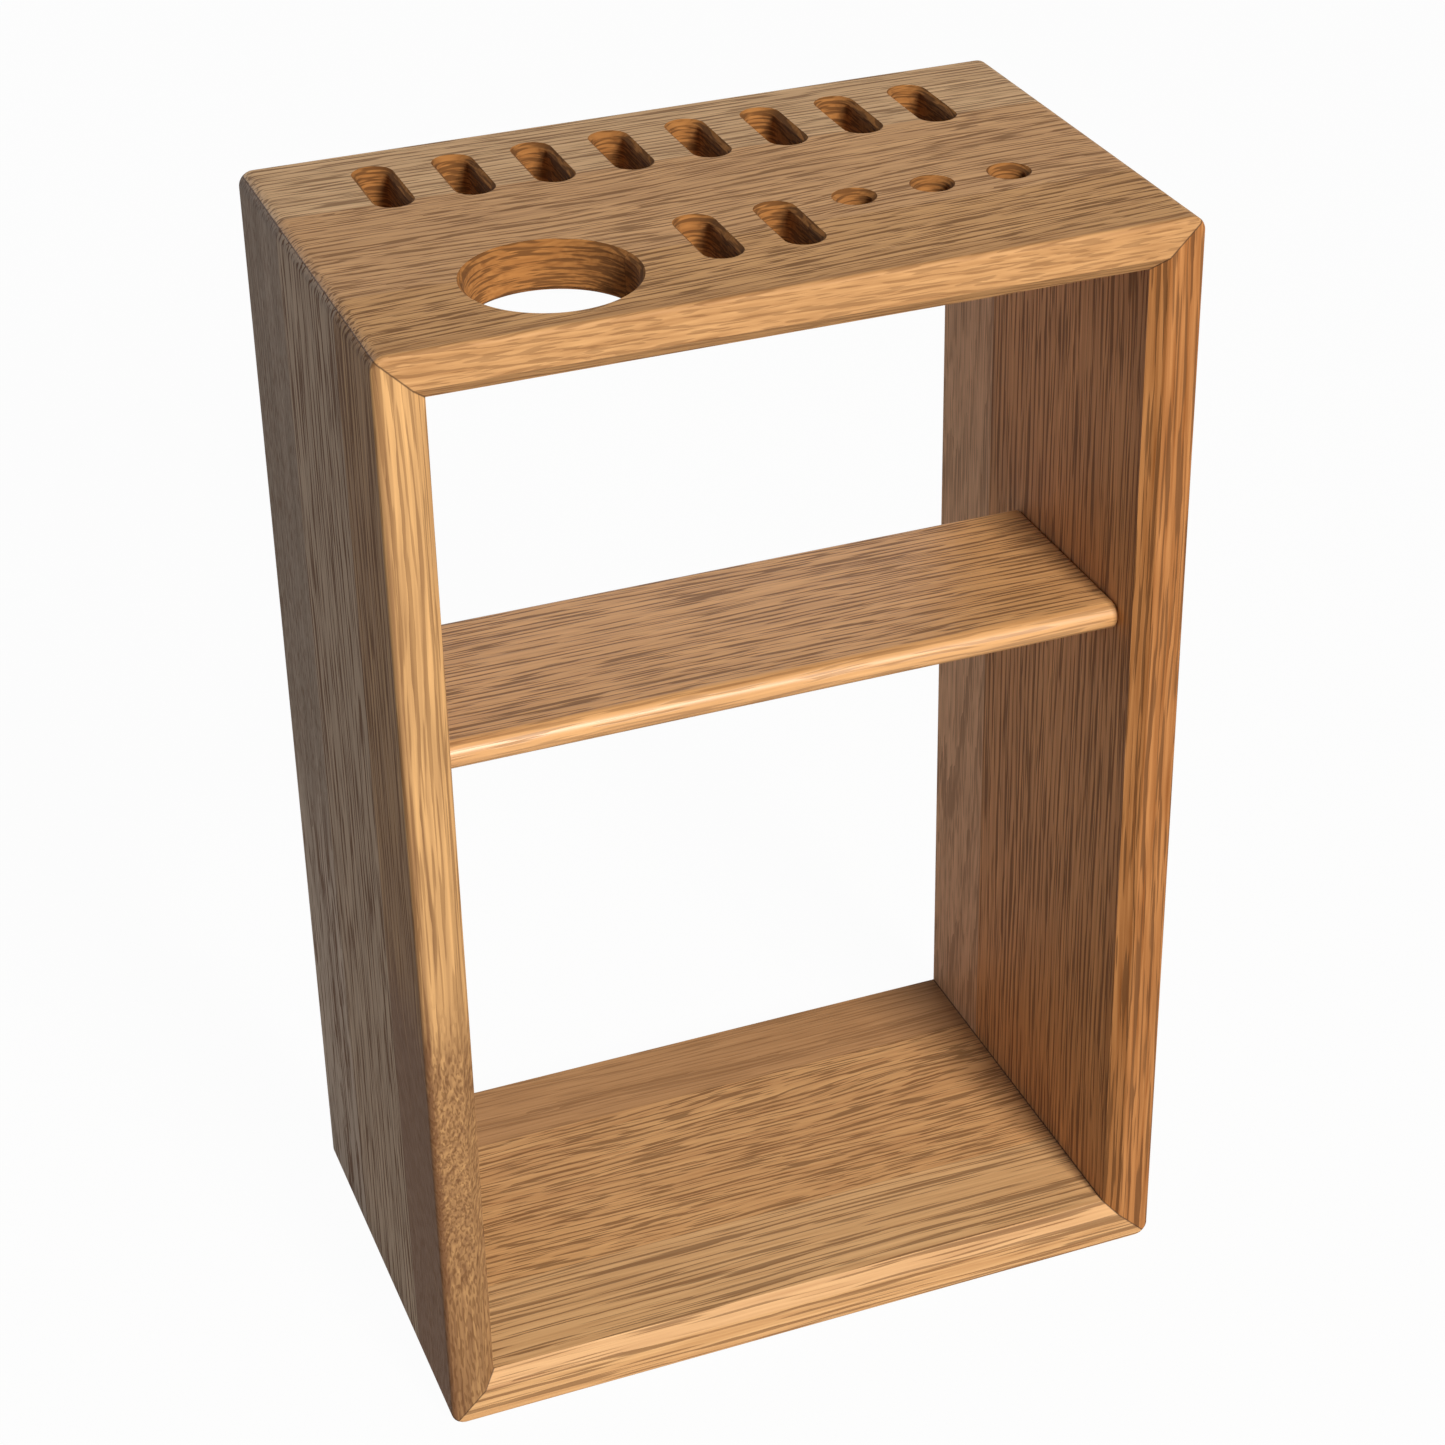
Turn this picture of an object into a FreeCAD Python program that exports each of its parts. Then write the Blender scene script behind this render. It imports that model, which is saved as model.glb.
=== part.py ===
import FreeCAD, Part
import math
import os

from FreeCAD import Vector

# Oak tool caddy: a mitred case, open at the front and the back, with a shelf
# inside and a top that is cut through with slots and holes for tools.
# Millimetres; X to the right, Y to the back, Z up. The origin is the middle of
# the footprint, on the surface that the caddy stands on.

# Case
CASE_WIDTH = 239.0
CASE_DEPTH = 142.0
CASE_HEIGHT = 360.0
BOARD_THICKNESS = 15.0
CORNER_RADIUS = 4.5
ARRIS_RADIUS = 1.5
INNER_BEVEL = 4.2

# Stave widths; the middle stave of a board, or the front one of the right side,
# takes the rest
TOP_REAR_STAVE = 41.5
TOP_FRONT_STAVE = 39.5
BOTTOM_REAR_STAVE = 33.0
BOTTOM_FRONT_STAVE = 40.5
LEFT_REAR_STAVE = 45.0
LEFT_FRONT_STAVE = 36.5
RIGHT_REAR_STAVE = 40.0

# Tool openings in the top, in columns at one pitch; the insets run from the
# back of the case to the rear slots, and from its front to the bottle hole
COLUMN_PITCH = 24.0
COLUMN_COUNT = 8
REAR_ROW_INSET = 13.6
FRONT_ROW_INSET = 9.5
SLOT_WIDTH = 9.6
SLOT_LENGTH = 30.8
BOTTLE_HOLE_DIAMETER = 47.6
HANDLE_HOLE_DIAMETER = 10.2
RIM_EASING = 1.4
BOTTLE_HOLE_COLUMN = 1
FRONT_SLOT_COLUMNS = (3, 4)
HANDLE_HOLE_COLUMNS = (5, 6, 7)

# Shelf, placed by its upper face and by its set-back from the case's front
SHELF_HEIGHT = 234.0
SHELF_THICKNESS = 8.5
SHELF_DEPTH = 69.5
SHELF_SETBACK = 12.0
SHELF_REAR_RADIUS = 2.0
SHELF_END_EASING = 0.8

# Biscuits, two in each mitre, square to the joint and nearer its inner corner
BISCUIT_LENGTH = 47.0
BISCUIT_WIDTH = 15.0
BISCUIT_THICKNESS = 4.0
BISCUIT_TIP_WIDTH = 3.3
BISCUIT_INSET = 35.0
BISCUIT_FROM_INNER_CORNER = 7.0

# Dowels, two in each end of the shelf
DOWEL_DIAMETER = 5.0
DOWEL_LENGTH = 20.0
DOWEL_DEPTH_IN_SIDE = 9.5
DOWEL_INSET = 15.0
DOWEL_END_ROOM = 0.5

# Room left for glue on each face of a biscuit or dowel
GLUE_ROOM = 0.1

# Case planes
LEFT = -CASE_WIDTH / 2
RIGHT = CASE_WIDTH / 2
FRONT = -CASE_DEPTH / 2
BACK = CASE_DEPTH / 2
INNER_LEFT = LEFT + BOARD_THICKNESS
INNER_RIGHT = RIGHT - BOARD_THICKNESS
INNER_BOTTOM = BOARD_THICKNESS
INNER_TOP = CASE_HEIGHT - BOARD_THICKNESS

# Shelf planes
SHELF_FRONT = FRONT + SHELF_SETBACK
SHELF_REAR = SHELF_FRONT + SHELF_DEPTH
SHELF_UNDERSIDE = SHELF_HEIGHT - SHELF_THICKNESS

TOLERANCE = 1e-6


def box(low, high):
    """Box between two opposite corners."""
    return Part.makeBox(high.x - low.x, high.y - low.y, high.z - low.z, low)


def edges_at_depth(shape, depth):
    """Edges that lie wholly in the upright plane at one depth."""
    flat = []
    for edge in shape.Edges:
        bounds = edge.BoundBox
        if abs(bounds.YMin - depth) < TOLERANCE and abs(bounds.YMax - depth) < TOLERANCE:
            flat.append(edge)
    return flat


def edges_along_depth(shape):
    """Straight edges that run from front to back."""
    along = []
    for edge in shape.Edges:
        bounds = edge.BoundBox
        if bounds.XLength < TOLERANCE and bounds.ZLength < TOLERANCE:
            along.append(edge)
    return along


def glued_case():
    """The case as it leaves the clamps: outer corners rounded, outer arrises eased,
    inner front and back edges bevelled."""
    outside = box(Vector(LEFT, FRONT, 0), Vector(RIGHT, BACK, CASE_HEIGHT))
    outside = outside.makeFillet(CORNER_RADIUS, edges_along_depth(outside))
    arrises = edges_at_depth(outside, FRONT) + edges_at_depth(outside, BACK)
    outside = outside.makeFillet(ARRIS_RADIUS, arrises)
    inside = box(Vector(INNER_LEFT, FRONT, INNER_BOTTOM), Vector(INNER_RIGHT, BACK, INNER_TOP))
    bevelled = edges_at_depth(inside, FRONT) + edges_at_depth(inside, BACK)
    case = outside.cut(inside)
    mouths = []
    for edge in edges_at_depth(case, FRONT) + edges_at_depth(case, BACK):
        if any(edge.CenterOfMass.isEqual(mouth.CenterOfMass, TOLERANCE) for mouth in bevelled):
            mouths.append(edge)
    return case.makeChamfer(INNER_BEVEL, mouths)


def mitre_wedge(outline):
    """Space of one board between its two mitres, from (x, z) corners."""
    corners = [Vector(x, FRONT, z) for x, z in outline]
    face = Part.Face(Part.makePolygon(corners + corners[:1]))
    return face.extrude(Vector(0, CASE_DEPTH, 0))


def mitred_boards():
    """The four boards of the case, by name."""
    case = glued_case()
    top_left = (LEFT, CASE_HEIGHT)
    top_right = (RIGHT, CASE_HEIGHT)
    bottom_left = (LEFT, 0)
    bottom_right = (RIGHT, 0)
    inner_top_left = (INNER_LEFT, INNER_TOP)
    inner_top_right = (INNER_RIGHT, INNER_TOP)
    inner_bottom_left = (INNER_LEFT, INNER_BOTTOM)
    inner_bottom_right = (INNER_RIGHT, INNER_BOTTOM)
    outlines = {
        "top": (top_left, top_right, inner_top_right, inner_top_left),
        "bottom": (bottom_left, bottom_right, inner_bottom_right, inner_bottom_left),
        "left": (bottom_left, top_left, inner_top_left, inner_bottom_left),
        "right": (bottom_right, top_right, inner_top_right, inner_bottom_right),
    }
    return {name: case.common(mitre_wedge(outline)) for name, outline in outlines.items()}


def column_x(column):
    """Place of a column of tool openings, counted from the left."""
    return (column - (COLUMN_COUNT - 1) / 2) * COLUMN_PITCH


def slot_cutter(x, rear):
    """Round-ended slot through the top, from the y of its rear end."""
    radius = SLOT_WIDTH / 2
    rear_centre = rear - radius
    front_centre = rear - SLOT_LENGTH + radius
    rear_left = Vector(x - radius, rear_centre, INNER_TOP)
    rear_right = Vector(x + radius, rear_centre, INNER_TOP)
    front_left = Vector(x - radius, front_centre, INNER_TOP)
    front_right = Vector(x + radius, front_centre, INNER_TOP)
    rear_end = Part.Arc(rear_left, Vector(x, rear, INNER_TOP), rear_right)
    front_end = Part.Arc(front_right, Vector(x, rear - SLOT_LENGTH, INNER_TOP), front_left)
    right_wall = Part.LineSegment(rear_right, front_right)
    left_wall = Part.LineSegment(front_left, rear_left)
    sides = (rear_end, right_wall, front_end, left_wall)
    outline = Part.Wire([side.toShape() for side in sides])
    return Part.Face(outline).extrude(Vector(0, 0, BOARD_THICKNESS))


def round_cutter(x, y, diameter):
    """Round hole through the top."""
    return Part.makeCylinder(diameter / 2, BOARD_THICKNESS, Vector(x, y, INNER_TOP))


def tool_cutters():
    """All openings of the top. The front slots end level with the rear of the
    bottle hole, and the handle holes line up with the centres of those ends."""
    rear_row = BACK - REAR_ROW_INSET
    bottle_y = FRONT + FRONT_ROW_INSET + BOTTLE_HOLE_DIAMETER / 2
    front_row = bottle_y + BOTTLE_HOLE_DIAMETER / 2
    handle_y = front_row - SLOT_WIDTH / 2
    cutters = [slot_cutter(column_x(column), rear_row) for column in range(COLUMN_COUNT)]
    cutters += [slot_cutter(column_x(column), front_row) for column in FRONT_SLOT_COLUMNS]
    cutters.append(round_cutter(column_x(BOTTLE_HOLE_COLUMN), bottle_y, BOTTLE_HOLE_DIAMETER))
    for column in HANDLE_HOLE_COLUMNS:
        cutters.append(round_cutter(column_x(column), handle_y, HANDLE_HOLE_DIAMETER))
    return cutters


def bored_top(board):
    """The top with its tool openings, their upper rims eased, and the lower rim of
    the bottle hole as well."""
    top = board.cut(tool_cutters())
    rims = []
    for face in top.Faces:
        upper = face.BoundBox.ZMin > CASE_HEIGHT - TOLERANCE
        lower = face.BoundBox.ZMax < INNER_TOP + TOLERANCE
        for wire in face.Wires:
            wide = wire.BoundBox.XLength > BOTTLE_HOLE_DIAMETER - TOLERANCE
            if not wire.isSame(face.OuterWire) and (upper or lower and wide):
                rims += wire.Edges
    return top.makeChamfer(RIM_EASING, rims)


def lens(length, width, thickness, tip_width):
    """Biscuit shape about the origin: long in Y, with bowed sides and flat tips."""
    tip = tip_width / 2
    reach = length / 2
    base = -thickness / 2
    right_front = Vector(tip, -reach, base)
    right_rear = Vector(tip, reach, base)
    left_rear = Vector(-tip, reach, base)
    left_front = Vector(-tip, -reach, base)
    right_bow = Part.Arc(right_front, Vector(width / 2, 0, base), right_rear)
    left_bow = Part.Arc(left_rear, Vector(-width / 2, 0, base), left_front)
    rear_tip = Part.LineSegment(right_rear, left_rear)
    front_tip = Part.LineSegment(left_front, right_front)
    sides = (right_bow, rear_tip, left_bow, front_tip)
    outline = Part.Wire([side.toShape() for side in sides])
    return Part.Face(outline).extrude(Vector(0, 0, thickness))


def biscuit_places():
    """Middle of each biscuit and the turn about Y that sets it square to its mitre."""
    places = {}
    step = BISCUIT_FROM_INNER_CORNER / math.sqrt(2)
    for level, inner_z, up in (("top", INNER_TOP, 1), ("bottom", INNER_BOTTOM, -1)):
        for side, inner_x, out in (("left", INNER_LEFT, -1), ("right", INNER_RIGHT, 1)):
            turn = math.degrees(math.atan2(out, up))
            x = inner_x + out * step
            z = inner_z + up * step
            for end, y in (("front", FRONT + BISCUIT_INSET), ("rear", BACK - BISCUIT_INSET)):
                places[f"biscuit_{level}_{side}_{end}"] = (Vector(x, y, z), turn)
    return places


def set_in_mitre(shape, place):
    """Shape turned and moved from the origin to its place in a mitre."""
    middle, turn = place
    shape.rotate(Vector(0, 0, 0), Vector(0, 1, 0), turn)
    shape.translate(middle)
    return shape


def biscuit(place):
    """One biscuit in its mitre."""
    shape = lens(BISCUIT_LENGTH, BISCUIT_WIDTH, BISCUIT_THICKNESS, BISCUIT_TIP_WIDTH)
    return set_in_mitre(shape, place)


def biscuit_pocket(place):
    """Pocket of one biscuit, with room for glue all round."""
    room = 2 * GLUE_ROOM
    shape = lens(BISCUIT_LENGTH + room, BISCUIT_WIDTH + room, BISCUIT_THICKNESS + room,
                 BISCUIT_TIP_WIDTH + room)
    return set_in_mitre(shape, place)


def dowel_places():
    """Middle of the outer end of each dowel, in its side, and its way into the shelf."""
    places = {}
    z = SHELF_HEIGHT - SHELF_THICKNESS / 2
    for side, inner_x, inward in (("left", INNER_LEFT, 1), ("right", INNER_RIGHT, -1)):
        x = inner_x - inward * DOWEL_DEPTH_IN_SIDE
        for end, y in (("front", SHELF_FRONT + DOWEL_INSET), ("rear", SHELF_REAR - DOWEL_INSET)):
            places[f"dowel_{side}_{end}"] = (Vector(x, y, z), Vector(inward, 0, 0))
    return places


def dowel(place):
    """One dowel."""
    start, inward = place
    return Part.makeCylinder(DOWEL_DIAMETER / 2, DOWEL_LENGTH, start, inward)


def dowel_hole(place):
    """Hole of one dowel, through the joint, with room at its sides and ends."""
    start, inward = place
    radius = DOWEL_DIAMETER / 2 + GLUE_ROOM
    length = DOWEL_LENGTH + 2 * DOWEL_END_ROOM
    return Part.makeCylinder(radius, length, start - inward * DOWEL_END_ROOM, inward)


def shelf_board():
    """Shelf between the sides: full-round front edge, eased rear edge and ends."""
    nose = SHELF_THICKNESS / 2
    nose_y = SHELF_FRONT + nose
    middle_z = SHELF_HEIGHT - nose
    upper_front = Vector(INNER_LEFT, nose_y, SHELF_HEIGHT)
    upper_rear = Vector(INNER_LEFT, SHELF_REAR, SHELF_HEIGHT)
    lower_rear = Vector(INNER_LEFT, SHELF_REAR, SHELF_UNDERSIDE)
    lower_front = Vector(INNER_LEFT, nose_y, SHELF_UNDERSIDE)
    front_round = Part.Arc(lower_front, Vector(INNER_LEFT, SHELF_FRONT, middle_z), upper_front)
    upper_face = Part.LineSegment(upper_front, upper_rear)
    rear_face = Part.LineSegment(upper_rear, lower_rear)
    under_face = Part.LineSegment(lower_rear, lower_front)
    sides = (front_round, upper_face, rear_face, under_face)
    profile = Part.Wire([side.toShape() for side in sides])
    board = Part.Face(profile).extrude(Vector(INNER_RIGHT - INNER_LEFT, 0, 0))
    rear_edges = []
    for edge in edges_at_depth(board, SHELF_REAR):
        if edge.BoundBox.XLength > TOLERANCE:
            rear_edges.append(edge)
    board = board.makeFillet(SHELF_REAR_RADIUS, rear_edges)
    ends = [edge for edge in board.Edges if edge.BoundBox.XLength < TOLERANCE]
    return board.makeChamfer(SHELF_END_EASING, ends)


def staves(board, name, glue_lines):
    """A board cut along its glue lines, given by their depths from back to front."""
    names = ("rear", "middle", "front") if len(glue_lines) == 2 else ("rear", "front")
    rears = (BACK,) + glue_lines
    fronts = glue_lines + (FRONT,)
    pieces = {}
    for place, front, rear in zip(names, fronts, rears):
        strip = box(Vector(LEFT, front, 0), Vector(RIGHT, rear, CASE_HEIGHT))
        pieces[f"{name}_{place}_stave"] = board.common(strip)
    return pieces


def caddy():
    """Every piece of the caddy, by node name."""
    biscuits = biscuit_places()
    dowels = dowel_places()
    pockets = [biscuit_pocket(place) for place in biscuits.values()]
    holes = [dowel_hole(place) for place in dowels.values()]
    boards = mitred_boards()
    boards["top"] = bored_top(boards["top"])
    glue_lines = {
        "top": (BACK - TOP_REAR_STAVE, FRONT + TOP_FRONT_STAVE),
        "bottom": (BACK - BOTTOM_REAR_STAVE, FRONT + BOTTOM_FRONT_STAVE),
        "left": (BACK - LEFT_REAR_STAVE, FRONT + LEFT_FRONT_STAVE),
        "right": (BACK - RIGHT_REAR_STAVE,),
    }
    pieces = {}
    for name, depths in glue_lines.items():
        jointed = boards[name].cut(pockets + holes)
        pieces.update(staves(jointed, name, depths))
    pieces["shelf"] = shelf_board().cut(holes)
    pieces.update({name: biscuit(place) for name, place in biscuits.items()})
    pieces.update({name: dowel(place) for name, place in dowels.items()})
    return pieces


os.makedirs("parts", exist_ok=True)
for node, shape in caddy().items():
    shape.exportStep(f"parts/{node}.step")
    print(node, len(shape.Solids), "solid,", round(shape.Volume), "mm3")
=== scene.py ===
import math

import bpy
from mathutils import Matrix, Vector


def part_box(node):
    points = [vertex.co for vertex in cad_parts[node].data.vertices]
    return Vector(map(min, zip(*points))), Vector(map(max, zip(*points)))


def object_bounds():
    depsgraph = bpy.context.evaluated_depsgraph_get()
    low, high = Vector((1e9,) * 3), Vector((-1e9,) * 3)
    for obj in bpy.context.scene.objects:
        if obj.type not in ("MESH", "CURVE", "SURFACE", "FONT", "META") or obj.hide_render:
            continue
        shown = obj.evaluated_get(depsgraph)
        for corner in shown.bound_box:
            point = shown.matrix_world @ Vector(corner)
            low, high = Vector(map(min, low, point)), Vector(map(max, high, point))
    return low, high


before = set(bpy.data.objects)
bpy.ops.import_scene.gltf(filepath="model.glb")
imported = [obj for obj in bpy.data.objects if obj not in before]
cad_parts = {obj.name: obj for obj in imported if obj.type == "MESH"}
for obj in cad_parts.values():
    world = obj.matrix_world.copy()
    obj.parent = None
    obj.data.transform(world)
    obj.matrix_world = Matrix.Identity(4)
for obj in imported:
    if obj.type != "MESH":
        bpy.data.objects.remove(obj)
cad_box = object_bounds()

# Bottom board
# Three oak staves glued edge to edge, planed, sanded and rubbed with oil, with the
# ends mitred to meet the sides. The oil soaks in and leaves no film, only a low sheen.

MM = 0.001
CASE_LOW, CASE_HIGH = cad_box
HALF_WIDTH = (CASE_HIGH.x - CASE_LOW.x) / 2
HALF_DEPTH = (CASE_HIGH.y - CASE_LOW.y) / 2
HALF_HEIGHT = (CASE_HIGH.z - CASE_LOW.z) / 2

MATH, VECTOR, RANGE = "ShaderNodeMath", "ShaderNodeVectorMath", "ShaderNodeMapRange"
NOISE, MIX, SPLIT = "ShaderNodeTexNoise", "ShaderNodeMix", "ShaderNodeSeparateXYZ"

# Sockets of a Mix node, where names repeat: the share, two values and two colours go in
SHARE, VALUE_A, VALUE_B, COLOUR_A, COLOUR_B = 0, 2, 3, 6, 7
COLOUR_OUT = 2


def linear(hex_colour):
    """Linear RGBA of an sRGB hex colour."""
    parts = [int(hex_colour[i:i + 2], 16) / 255 for i in (1, 3, 5)]
    return [c / 12.92 if c <= 0.04045 else ((c + 0.055) / 1.055) ** 2.4 for c in parts] + [1.0]


def cells(across, length):
    """Scale that counts log coordinates in cells of one size across and one along the grain."""
    return (1 / across, 1 / across, 1 / length)


def add(tree, kind, inputs, out=0, **settings):
    """New node with its settings, fed by values and by other nodes' outputs; one output comes back."""
    made = tree.nodes.new(kind)
    for name, value in settings.items():
        setattr(made, name, value)
    for key, value in inputs.items():
        if isinstance(value, bpy.types.NodeSocket):
            tree.links.new(value, made.inputs[key])
        else:
            made.inputs[key].default_value = value
    return made.outputs[out]


def new_material(name):
    """Empty node material, its tree and its surface shader."""
    made = bpy.data.materials.new(name)
    made.use_nodes = True
    return made, made.node_tree, made.node_tree.nodes["Principled BSDF"]


def dress(node, material):
    """Material in every slot of one CAD node."""
    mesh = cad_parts[node].data
    for slot in range(len(mesh.materials)):
        mesh.materials[slot] = material


def lie_in_log(tree, place, run, along, pith, turn, sweep):
    """Millimetres from the pith with the grain along z; sweep (from, to, shift) carries it sideways."""
    lay = {"x": (0, math.pi / 2, 0), "z": (0, 0, 0)}[along]
    log = add(tree, "ShaderNodeMapping", {
        "Vector": place, "Location": [p * MM for p in pith], "Scale": (MM, MM, MM),
        "Rotation": [base + math.radians(more) for base, more in zip(lay, turn)],
    }, vector_type="TEXTURE")
    if sweep:
        begin, end, shift = sweep
        aside = add(tree, RANGE, {
            "Value": run, "From Min": begin * MM, "From Max": end * MM, "To Min": 0.0, "To Max": shift,
        }, interpolation_type="SMOOTHSTEP")
        log = add(tree, VECTOR, {0: log, 1: add(tree, "ShaderNodeCombineXYZ", {"Y": aside})}, operation="ADD")
    return log


# The grain drifts and ripples over these sizes, in mm across and along it. Early wood takes
# up the first part of a ring, and a weak year has little of it.
NOISE_MEAN = 0.5
DRIFT_CELL = (40.0, 170.0)
DRIFT_DETAIL = 2.0
RIPPLE_CELL = (5.0, 40.0)
RIPPLE_DETAIL, RIPPLE_GRIT = 3.0, 0.6
RIPPLE_BEND = 0.3
EARLY_SPAN = 0.6
WEAK_YEAR = 0.35


def grow_rings(tree, log, ring, wave):
    """Log coordinates bent by slow noise, and the early wood, 1 where a ring starts and then falling to 0.

    A ring is a shell of even width about the pith: the distance from the pith, counted in
    rings and rippled, has the year as its whole part and the place in the ring as the rest.
    """
    drift = add(tree, VECTOR, {0: log, 1: cells(*DRIFT_CELL)}, operation="MULTIPLY")
    drift = add(tree, NOISE, {"Vector": drift, "Scale": 1.0, "Detail": DRIFT_DETAIL}, "Color")
    drift = add(tree, VECTOR, {0: drift, 1: (NOISE_MEAN, NOISE_MEAN, NOISE_MEAN)}, operation="SUBTRACT")
    swing = wave / NOISE_MEAN
    bent = add(tree, VECTOR, {0: drift, 1: (swing, swing, 0), 2: log}, operation="MULTIPLY_ADD")
    flat = add(tree, VECTOR, {0: bent, 1: (1, 1, 0)}, operation="MULTIPLY")
    radius = add(tree, VECTOR, {0: flat}, "Value", operation="LENGTH")
    ripple = add(tree, VECTOR, {0: bent, 1: cells(*RIPPLE_CELL)}, operation="MULTIPLY")
    ripple = add(tree, NOISE, {
        "Vector": ripple, "Scale": 1.0, "Detail": RIPPLE_DETAIL, "Roughness": RIPPLE_GRIT,
    })
    count = add(tree, MATH, {0: radius, 1: ring}, operation="DIVIDE")
    count = add(tree, MATH, {0: ripple, 1: RIPPLE_BEND * wave, 2: count}, operation="MULTIPLY_ADD")
    part = add(tree, MATH, {0: count}, operation="FRACT")
    year = add(tree, "ShaderNodeTexWhiteNoise", {
        "W": add(tree, MATH, {0: count}, operation="FLOOR"),
    }, "Value", noise_dimensions="1D")
    early = add(tree, RANGE, {
        "Value": part, "From Min": 0.0, "From Max": EARLY_SPAN, "To Min": 1.0, "To Max": 0.0,
    }, interpolation_type="SMOOTHSTEP")
    strength = add(tree, RANGE, {"Value": year, "To Min": WEAK_YEAR, "To Max": 1.0})
    return bent, add(tree, MATH, {0: early, 1: strength}, operation="MULTIPLY")


# Fibres and blotches, in mm across and along the grain, and their shares of the dark colour.
# Fibres are really far finer, and are drawn as coarse as they need to be to show.
FIBRE_CELL = (1.1, 40.0)
FIBRE_DETAIL, FIBRE_GRIT = 1.0, 0.5
BLOTCH_CELL = (18.0, 110.0)
BLOTCH_DETAIL = 2.0
BASE_TONE, FIBRE_TONE, BLOTCH_TONE = 0.25, 0.9, 0.35


def tone_wood(tree, bent, early, bands, spot, heart_and_shade):
    """Share of the dark colour, the sum of rings, fibres and blotches.

    Its last argument (axis, none, full, share) is where the colour darkens across the board: darker heartwood
    on most staves, painted shade on the left front stave's outer face.
    """
    fibre = add(tree, VECTOR, {0: bent, 1: cells(*FIBRE_CELL)}, operation="MULTIPLY")
    fibre = add(tree, NOISE, {
        "Vector": fibre, "Scale": 1.0, "Detail": FIBRE_DETAIL, "Roughness": FIBRE_GRIT,
    })
    blotch = add(tree, VECTOR, {0: bent, 1: cells(*BLOTCH_CELL)}, operation="MULTIPLY")
    blotch = add(tree, NOISE, {"Vector": blotch, "Scale": 1.0, "Detail": BLOTCH_DETAIL})
    level = BASE_TONE - (FIBRE_TONE + BLOTCH_TONE) * NOISE_MEAN
    tone = add(tree, MATH, {0: early, 1: bands, 2: level}, operation="MULTIPLY_ADD")
    tone = add(tree, MATH, {0: fibre, 1: FIBRE_TONE, 2: tone}, operation="MULTIPLY_ADD")
    tone = add(tree, MATH, {0: blotch, 1: BLOTCH_TONE, 2: tone}, operation="MULTIPLY_ADD")
    if heart_and_shade:
        axis, none, full, share = heart_and_shade
        deep = add(tree, RANGE, {
            "Value": spot[axis], "From Min": none * MM, "From Max": full * MM, "To Min": 0.0, "To Max": share,
        }, interpolation_type="SMOOTHSTEP")
        tone = add(tree, MATH, {0: tone, 1: deep}, operation="ADD")
    return tone


# Pores are really 0.3 mm wide and are drawn about three times as coarse, so that they show
# in a picture of the whole caddy. A pore comes in over a span of noise, which early wood
# adds to, and a calm stretch keeps a share of its depth.
PORE_SPAN = (0.55, 0.64)
PORE_DETAIL, PORE_GRIT = 1.0, 0.4
EARLY_PORES = 0.22
FAINT = 0.5


def open_pores(tree, bent, early, pore, depth, spot, calm):
    """Pores as noise drawn out along the grain that passes its threshold more often where a ring starts.

    calm (none, full) is where they turn faint.
    """
    groove = add(tree, VECTOR, {0: bent, 1: cells(*pore)}, operation="MULTIPLY")
    groove = add(tree, NOISE, {
        "Vector": groove, "Scale": 1.0, "Detail": PORE_DETAIL, "Roughness": PORE_GRIT,
    })
    groove = add(tree, MATH, {0: early, 1: EARLY_PORES, 2: groove}, operation="MULTIPLY_ADD")
    groove = add(tree, RANGE, {
        "Value": groove, "From Min": PORE_SPAN[0], "From Max": PORE_SPAN[1], "To Min": 0.0, "To Max": depth,
    }, interpolation_type="SMOOTHSTEP")
    if calm:
        none, full = calm
        faint = add(tree, RANGE, {
            "Value": spot["Y"], "From Min": none * MM, "From Max": full * MM, "To Min": 1.0, "To Max": FAINT,
        }, interpolation_type="SMOOTHSTEP")
        groove = add(tree, MATH, {0: groove, 1: faint}, operation="MULTIPLY")
    return groove


# Glue lines: half width and outer half width in mm, and share of the glue's colour
MITRE_LINE = (0.1, 0.5, 0.75)
SEAM_LINE = (0.05, 0.35, 0.25)
GLUE_COLOUR = "#3A2414"


def glue_lines(tree, spot, seams):
    """Share of the glue's colour along the mitres and the seams between staves.

    A mitre is where a point is as far from the case's nearer side as from its top or bottom.
    """
    aside = add(tree, MATH, {0: spot["X"]}, operation="ABSOLUTE")
    from_side = add(tree, MATH, {0: HALF_WIDTH, 1: aside}, operation="SUBTRACT")
    from_middle = add(tree, MATH, {0: spot["Z"], 1: HALF_HEIGHT}, operation="SUBTRACT")
    from_middle = add(tree, MATH, {0: from_middle}, operation="ABSOLUTE")
    from_level = add(tree, MATH, {0: HALF_HEIGHT, 1: from_middle}, operation="SUBTRACT")
    ways = [(add(tree, MATH, {0: from_side, 1: from_level}, operation="SUBTRACT"), MITRE_LINE)]
    for seam in seams:
        ways.append((add(tree, MATH, {0: spot["Y"], 1: seam}, operation="SUBTRACT"), SEAM_LINE))
    line = 0.0
    for way, (half, outer, share) in ways:
        near = add(tree, RANGE, {
            "Value": add(tree, MATH, {0: way}, operation="ABSOLUTE"),
            "From Min": half * MM, "From Max": outer * MM, "To Min": share, "To Max": 0.0,
        }, interpolation_type="SMOOTHSTEP")
        line = add(tree, MATH, {0: line, 1: near}, operation="MAXIMUM")
    return line


# What a pore does to the surface: its colour, added roughness, depth in mm and strength of relief
PORE_COLOUR = "#5F3D20"
PORE_ROUGH = 0.2
PORE_DEEP = 0.2
PORE_BUMP = 0.5


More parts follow.
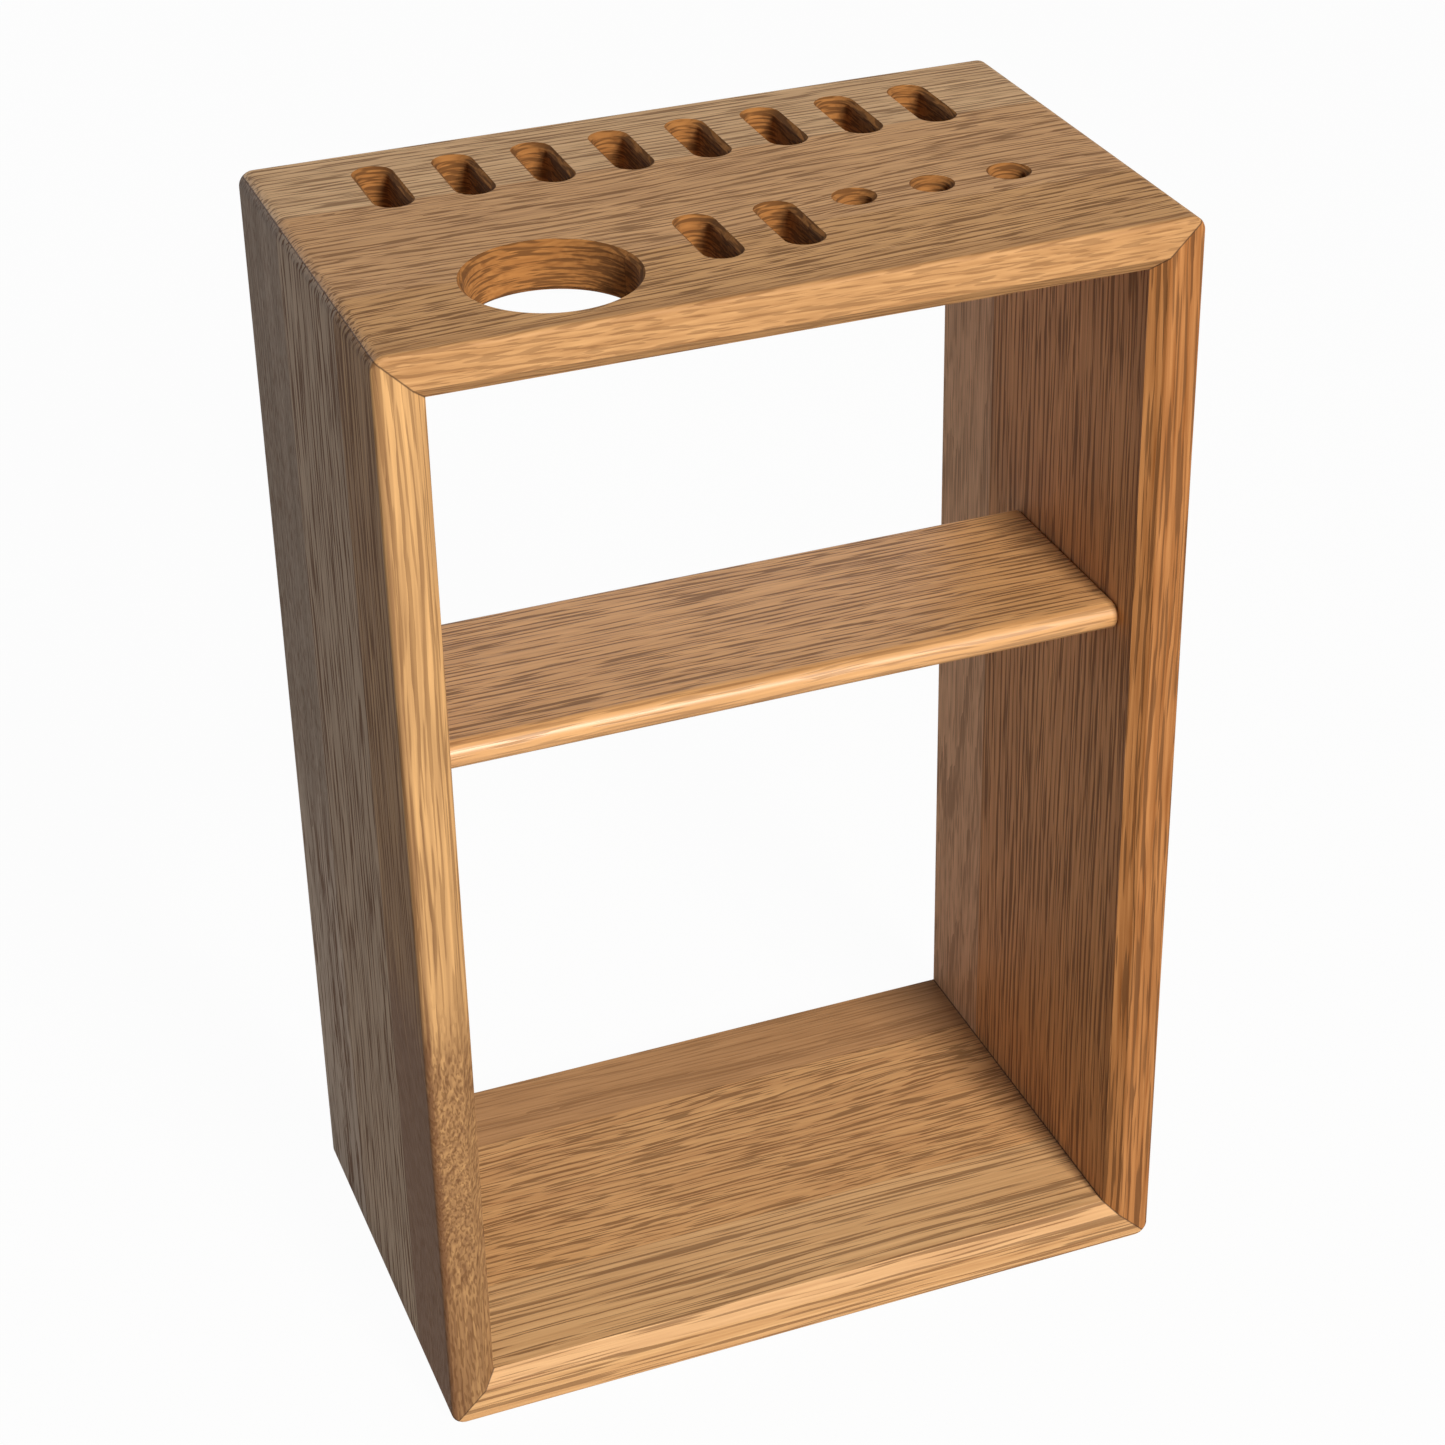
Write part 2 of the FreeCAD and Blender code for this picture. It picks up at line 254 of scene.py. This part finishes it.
def oak(node, along, pith, ring, pale, dark, pore, turn=(0, 0, 0), wave=3.0, bands=0.2, depth=0.6,
        rough=0.62, gloss=0.25, sweep=None, short=None, heart_and_shade=None, calm=None, holes=False, seams=()):
    """Oiled oak on one CAD node, worked out as a solid: rings, their tone and their pores.

    along is the axis of the grain, pith a point on the log's middle, ring the width of a ring, wave
    how far the grain drifts and pore the width and length of a pore, all in mm; bands and depth are
    how strong the rings and the pores are. short (none, full) is the stretch where the grain runs out
    of the face; run_out, for it, and bore_walls, for holes, stand with the boards that need them.
    """
    made, tree, shader = new_material("oiled_oak_" + node)
    place = add(tree, "ShaderNodeTexCoord", {}, "Object")
    spot = add(tree, SPLIT, {0: place}).node.outputs
    run = spot[along.upper()]
    log = lie_in_log(tree, place, run, along, pith, turn, sweep)
    bent, early = grow_rings(tree, log, ring, wave)
    tone = tone_wood(tree, bent, early, bands, spot, heart_and_shade)
    groove = open_pores(tree, bent, early, pore, depth, spot, calm)
    if short:
        tone, groove = run_out(tree, bent, run, short, depth, tone, groove)
    tone = add(tree, MATH, {0: tone, 1: 0.0}, operation="ADD", use_clamp=True)
    colour = add(tree, MIX, {
        SHARE: tone, COLOUR_A: linear(pale), COLOUR_B: linear(dark),
    }, COLOUR_OUT, data_type="RGBA")
    if holes:
        wall, groove, colour = bore_walls(tree, bent, spot, tone, groove, colour)
    colour = add(tree, MIX, {
        SHARE: groove, COLOUR_A: colour, COLOUR_B: linear(PORE_COLOUR),
    }, COLOUR_OUT, data_type="RGBA")
    colour = add(tree, MIX, {
        SHARE: glue_lines(tree, spot, seams), COLOUR_A: colour, COLOUR_B: linear(GLUE_COLOUR),
    }, COLOUR_OUT, data_type="RGBA")
    tree.links.new(colour, shader.inputs["Base Color"])

    matt = add(tree, RANGE, {"Value": groove, "To Min": rough, "To Max": rough + PORE_ROUGH})
    if holes:
        matt = add(tree, MATH, {0: matt, 1: wall}, operation="MAXIMUM")
    tree.links.new(matt, shader.inputs["Roughness"])
    shader.inputs["Specular IOR Level"].default_value = gloss
    bump = add(tree, "ShaderNodeBump", {
        "Height": groove, "Strength": PORE_BUMP, "Distance": PORE_DEEP * MM,
    }, invert=True)
    tree.links.new(bump, shader.inputs["Normal"])
    dress(node, made)


BOTTOM_SEAMS = [edge.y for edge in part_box("bottom_middle_stave")]
oak("bottom_rear_stave", "x", pith=(0, 70, -90), ring=3.5, pale="#C4976A", dark="#8E643B",
    pore=(0.8, 30), depth=0.3, seams=BOTTOM_SEAMS)
oak("bottom_middle_stave", "x", pith=(0, 160, -60), ring=2.1, pale="#E0B17A", dark="#985F36",
    pore=(0.75, 18), bands=0.15, wave=6, seams=BOTTOM_SEAMS)
oak("bottom_front_stave", "x", pith=(0, -130, 120), ring=2.6, pale="#E4BA86", dark="#A8784A",
    pore=(0.9, 60), rough=0.55, gloss=0.3, heart_and_shade=("Y", -62, -69, 0.2), seams=BOTTOM_SEAMS)

# Left side
# Three upright oak staves, glued and mitred like the bottom board. The grain of the
# front stave sweeps aside low down, where its pores come out short on the front edge.

# Pores cut short, in mm across and along the grain and as coarse as the whole ones, their
# span of noise and share of depth, and the share of dark colour that comes with them
STUB_CELL = (0.6, 4.0)
STUB_DETAIL = 0.0
STUB_SPAN = (0.52, 0.62)
STUB_SHARE = 0.6
SHORT_TONE = 0.4


def run_out(tree, bent, run, short, depth, tone, groove):
    """Darker wood and pores cut short, as noise in short cells, over the stretch where the grain runs out."""
    none, full = short
    cut = add(tree, RANGE, {
        "Value": run, "From Min": none * MM, "From Max": full * MM,
    }, interpolation_type="SMOOTHSTEP")
    stub = add(tree, VECTOR, {0: bent, 1: cells(*STUB_CELL)}, operation="MULTIPLY")
    stub = add(tree, NOISE, {"Vector": stub, "Scale": 1.0, "Detail": STUB_DETAIL})
    stub = add(tree, RANGE, {
        "Value": stub, "From Min": STUB_SPAN[0], "From Max": STUB_SPAN[1],
        "To Min": 0.0, "To Max": depth * STUB_SHARE,
    }, interpolation_type="SMOOTHSTEP")
    tone = add(tree, MATH, {0: cut, 1: SHORT_TONE, 2: tone}, operation="MULTIPLY_ADD")
    return tone, add(tree, MIX, {SHARE: cut, VALUE_A: groove, VALUE_B: stub})


LEFT_SEAMS = [edge.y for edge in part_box("left_middle_stave")]
# The rear and middle left staves are drawn greyer and darker than the others: painted grey sheen and shade of
# the left side.
oak("left_rear_stave", "z", pith=(-20, 60, 0), ring=2.8, pale="#C2AA92", dark="#6E5840",
    pore=(1.2, 20), depth=0.9, rough=0.72, short=(130, 190), seams=LEFT_SEAMS)
oak("left_middle_stave", "z", pith=(-190, 170, 0), ring=3.0, pale="#BEA284", dark="#745C44",
    pore=(1.1, 30), depth=0.9, rough=0.72, seams=LEFT_SEAMS)
# Darker towards the outer face: painted shade on the left side and its rounded front edge.
oak("left_front_stave", "z", pith=(-190, -130, 0), ring=2.6, pale="#D6AA74", dark="#745236",
    pore=(1.0, 36), depth=0.85, rough=0.72, sweep=(150, 40, 40), short=(170, 125),
    heart_and_shade=("X", -116, -119, 0.4), calm=(-62, -70), seams=LEFT_SEAMS)

# Right side
# Two upright oak staves, glued and mitred like the left side. The rear one is plain,
# and the front one is striped and redder.

RIGHT_SEAMS = [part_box("right_rear_stave")[0].y]
oak("right_rear_stave", "z", pith=(50, 58, 0), ring=4.0, pale="#E2B286", dark="#996D43",
    pore=(0.75, 30), depth=0.4, turn=(0, 2, 0), seams=RIGHT_SEAMS)
oak("right_front_stave", "z", pith=(190, -170, 0), ring=2.6, pale="#D69A60", dark="#824E20",
    pore=(0.9, 36), depth=0.7, bands=0.25, heart_and_shade=("Y", -60, -71, 0.42), seams=RIGHT_SEAMS)

# Top board
# Three oak staves, glued and mitred like the bottom, with slots and round holes cut through
# them and their rims eased. The cut walls are matt and darker, partly from oil soaked into
# the cut grain and partly as painted shade inside the holes.

# No hole comes nearer than this margin to the case's outside, in mm. A face turns from level
# to wall as the upright part of its normal falls. Lines in a wall are in mm up and round it.
HOLE_MARGIN = 7.0
WALL_UPRIGHT, LEVEL_UPRIGHT = 0.75, 0.95
WALL_CELL = (0.7, 9.0)
WALL_DETAIL, WALL_GRIT = 1.0, 0.5
WALL_SPAN = (0.44, 0.58)
WALL_SHARE = 0.8
WALL_PALE, WALL_DARK = "#AC7843", "#6F411E"


def bore_walls(tree, bent, spot, tone, groove, colour):
    """Where the walls of the holes are, and the pores and the colour with these walls put in.

    The rings of the top lie nearly level, so they come out of a wall as level lines.
    """
    upright = add(tree, SPLIT, {0: add(tree, "ShaderNodeNewGeometry", {}, "Normal")}, "Z")
    wall = add(tree, RANGE, {
        "Value": add(tree, MATH, {0: upright}, operation="ABSOLUTE"),
        "From Min": WALL_UPRIGHT, "From Max": LEVEL_UPRIGHT, "To Min": 1.0, "To Max": 0.0,
    })
    for axis, half in (("X", HALF_WIDTH), ("Y", HALF_DEPTH)):
        away = add(tree, MATH, {0: spot[axis]}, operation="ABSOLUTE")
        inside = add(tree, MATH, {0: away, 1: half - HOLE_MARGIN * MM}, operation="LESS_THAN")
        wall = add(tree, MATH, {0: wall, 1: inside}, operation="MULTIPLY")
    up, round_it = WALL_CELL
    lines = add(tree, VECTOR, {0: bent, 1: (1 / up, 1 / round_it, 1 / round_it)}, operation="MULTIPLY")
    lines = add(tree, NOISE, {
        "Vector": lines, "Scale": 1.0, "Detail": WALL_DETAIL, "Roughness": WALL_GRIT,
    })
    lines = add(tree, RANGE, {
        "Value": lines, "From Min": WALL_SPAN[0], "From Max": WALL_SPAN[1],
        "To Min": 0.0, "To Max": WALL_SHARE,
    }, interpolation_type="SMOOTHSTEP")
    groove = add(tree, MIX, {SHARE: wall, VALUE_A: groove, VALUE_B: lines})
    # The walls' colours are darker than the faces': oil soaked into the cut grain, and painted shade inside
    # the holes.
    oil_and_shade_colour = add(tree, MIX, {
        SHARE: tone, COLOUR_A: linear(WALL_PALE), COLOUR_B: linear(WALL_DARK),
    }, COLOUR_OUT, data_type="RGBA")
    colour = add(tree, MIX, {
        SHARE: wall, COLOUR_A: colour, COLOUR_B: oil_and_shade_colour,
    }, COLOUR_OUT, data_type="RGBA")
    return wall, groove, colour


TOP_SEAMS = [edge.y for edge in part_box("top_middle_stave")]
oak("top_rear_stave", "x", pith=(0, 260, 310), ring=2.5, pale="#E0BC92", dark="#9A7450",
    pore=(0.8, 22), depth=0.65, bands=0.12, holes=True, seams=TOP_SEAMS)
oak("top_middle_stave", "x", pith=(0, -190, 240), ring=2.4, pale="#D8AC7D", dark="#8E6440",
    pore=(0.8, 20), depth=0.65, bands=0.12, wave=6, sweep=(-40, 110, -9), holes=True, seams=TOP_SEAMS)
oak("top_front_stave", "x", pith=(0, 100, 190), ring=2.0, pale="#D6A874", dark="#90653B",
    pore=(0.75, 16), depth=0.75, bands=0.12, turn=(0, 0, 4), heart_and_shade=("Y", -62, -69, 0.25),
    calm=(-63, -70), holes=True, seams=TOP_SEAMS)

# Shelf
# One oak board, thinner than the case, with a rounded front edge. It is rubbed smoother
# than the rest, and dowels and glue hold its ends between the sides.

oak("shelf", "x", pith=(0, 240, 280), ring=2.3, pale="#D8A872", dark="#996A3E", pore=(0.75, 22),
    depth=0.75, bands=0.1, rough=0.38, gloss=0.5, calm=(-52, -57))

# Joints inside the boards
# Pressed beech biscuits sit in the mitres and plain beech dowels hold the shelf. Beech is
# pale and finely flecked, but glue closes their pockets, so they never show from outside.

# Size of a fleck in mm, drawn about as large as it is
FLECK_SIZE = 1.11
FLECK_DETAIL = 2.0
BEECH_PALE, BEECH_DARK = "#D8B48A", "#B98A5E"
BEECH_ROUGH = 0.6
beech, beech_tree, beech_shader = new_material("beech")
fleck = add(beech_tree, NOISE, {
    "Vector": add(beech_tree, "ShaderNodeTexCoord", {}, "Object"),
    "Scale": 1 / (FLECK_SIZE * MM), "Detail": FLECK_DETAIL,
})
flecked = add(beech_tree, MIX, {
    SHARE: fleck, COLOUR_A: linear(BEECH_PALE), COLOUR_B: linear(BEECH_DARK),
}, COLOUR_OUT, data_type="RGBA")
beech_tree.links.new(flecked, beech_shader.inputs["Base Color"])
beech_shader.inputs["Roughness"].default_value = BEECH_ROUGH
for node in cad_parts:
    if node.startswith(("biscuit", "dowel")):
        dress(node, beech)

# Floor
# A seamless sheet of white card under and behind the caddy. The camera sees it nearly
# white, with a trace of the caddy's shadow left in it.

FLOOR_REACH = 6.0
CARD_COLOUR = "#BDBDBD"
CARD_ROUGH = 0.9
CARD_GLOW = 0.97
GLOW_COLOUR = "#FFFFFF"


def seen_rays(tree):
    """1 for rays that come from the camera, are mirrored or pass through a surface, and 0 for the rest."""
    rays = add(tree, "ShaderNodeLightPath", {}).node.outputs
    seen = add(tree, MATH, {0: rays["Is Camera Ray"], 1: rays["Is Glossy Ray"]}, operation="MAXIMUM")
    return add(tree, MATH, {0: seen, 1: rays["Is Transmission Ray"]}, operation="MAXIMUM")


card = bpy.data.meshes.new("card")
card.from_pydata([(-FLOOR_REACH, -FLOOR_REACH, 0), (FLOOR_REACH, -FLOOR_REACH, 0),
                  (FLOOR_REACH, FLOOR_REACH, 0), (-FLOOR_REACH, FLOOR_REACH, 0)], [], [(0, 1, 2, 3)])
floor = bpy.data.objects.new("floor", card)
bpy.context.scene.collection.objects.link(floor)
white_card, card_tree, card_shader = new_material("white_card")
card_shader.inputs["Base Color"].default_value = linear(CARD_COLOUR)
card_shader.inputs["Roughness"].default_value = CARD_ROUGH
glow = add(card_tree, "ShaderNodeEmission", {"Color": linear(GLOW_COLOUR), "Strength": 1.0})
glow_share = add(card_tree, MATH, {0: seen_rays(card_tree), 1: CARD_GLOW}, operation="MULTIPLY")
both = add(card_tree, "ShaderNodeMixShader", {0: glow_share, 1: card_shader.outputs["BSDF"], 2: glow})
card_tree.links.new(both, card_tree.nodes["Material Output"].inputs["Surface"])
card.materials.append(white_card)

# Light
# One soft light high at the front right, a weak cool one low behind on the left, and
# a faint even light all round.


def soft_light(name, place, aim, size, watts, colour):
    """Square area light at a place, turned to a point."""
    lamp = bpy.data.lights.new(name, "AREA")
    lamp.size = size
    lamp.energy = watts
    lamp.color = linear(colour)[:3]
    made = bpy.data.objects.new(name, lamp)
    made.location = place
    made.rotation_mode = "QUATERNION"
    made.rotation_quaternion = (Vector(aim) - Vector(place)).to_track_quat("-Z", "Y")
    bpy.context.scene.collection.objects.link(made)


soft_light("key", place=(0.42, -2.48, 1.64), aim=(0, 0, 0.15), size=0.6, watts=108, colour="#FFF6EA")
soft_light("low_fill", place=(-1.1, 2.0, 0.65), aim=(0, 0, 0.3), size=0.8, watts=11, colour="#DEE8FF")
AROUND = 0.05
world = bpy.data.worlds.new("studio")
bpy.context.scene.world = world
world.use_nodes = True
sky = world.node_tree
strength = add(sky, RANGE, {"Value": seen_rays(sky), "To Min": AROUND, "To Max": 1.0})
sky.nodes["Background"].inputs["Color"].default_value = linear(GLOW_COLOUR)
sky.links.new(strength, sky.nodes["Background"].inputs["Strength"])

# Camera
# Stands in front on the left and looks down, where the photograph was taken from; the
# shift keeps the caddy where it stands in the photograph's frame.

CAMERA_PLACE = Vector((-0.2950, -0.7898, 0.6954))
CAMERA_AZIMUTH = math.radians(-20.54)
CAMERA_ELEVATION = math.radians(29.15)
CAMERA_ROLL = math.radians(-1.20)
CAMERA_LENS = 79.46
CAMERA_SENSOR = 36.0
CAMERA_SHIFT = -0.0779
camera_data = bpy.data.cameras.new("camera")
camera_data.sensor_width = CAMERA_SENSOR
camera_data.lens = CAMERA_LENS
camera_data.shift_y = CAMERA_SHIFT
camera = bpy.data.objects.new("camera", camera_data)
camera.matrix_world = (
    Matrix.Translation(CAMERA_PLACE)
    @ Matrix.Rotation(CAMERA_AZIMUTH, 4, "Z")
    @ Matrix.Rotation(math.pi / 2 - CAMERA_ELEVATION, 4, "X")
    @ Matrix.Rotation(CAMERA_ROLL, 4, "Z")
)
bpy.context.scene.collection.objects.link(camera)
bpy.context.scene.camera = camera
bpy.context.scene.view_settings.view_transform = "Standard"
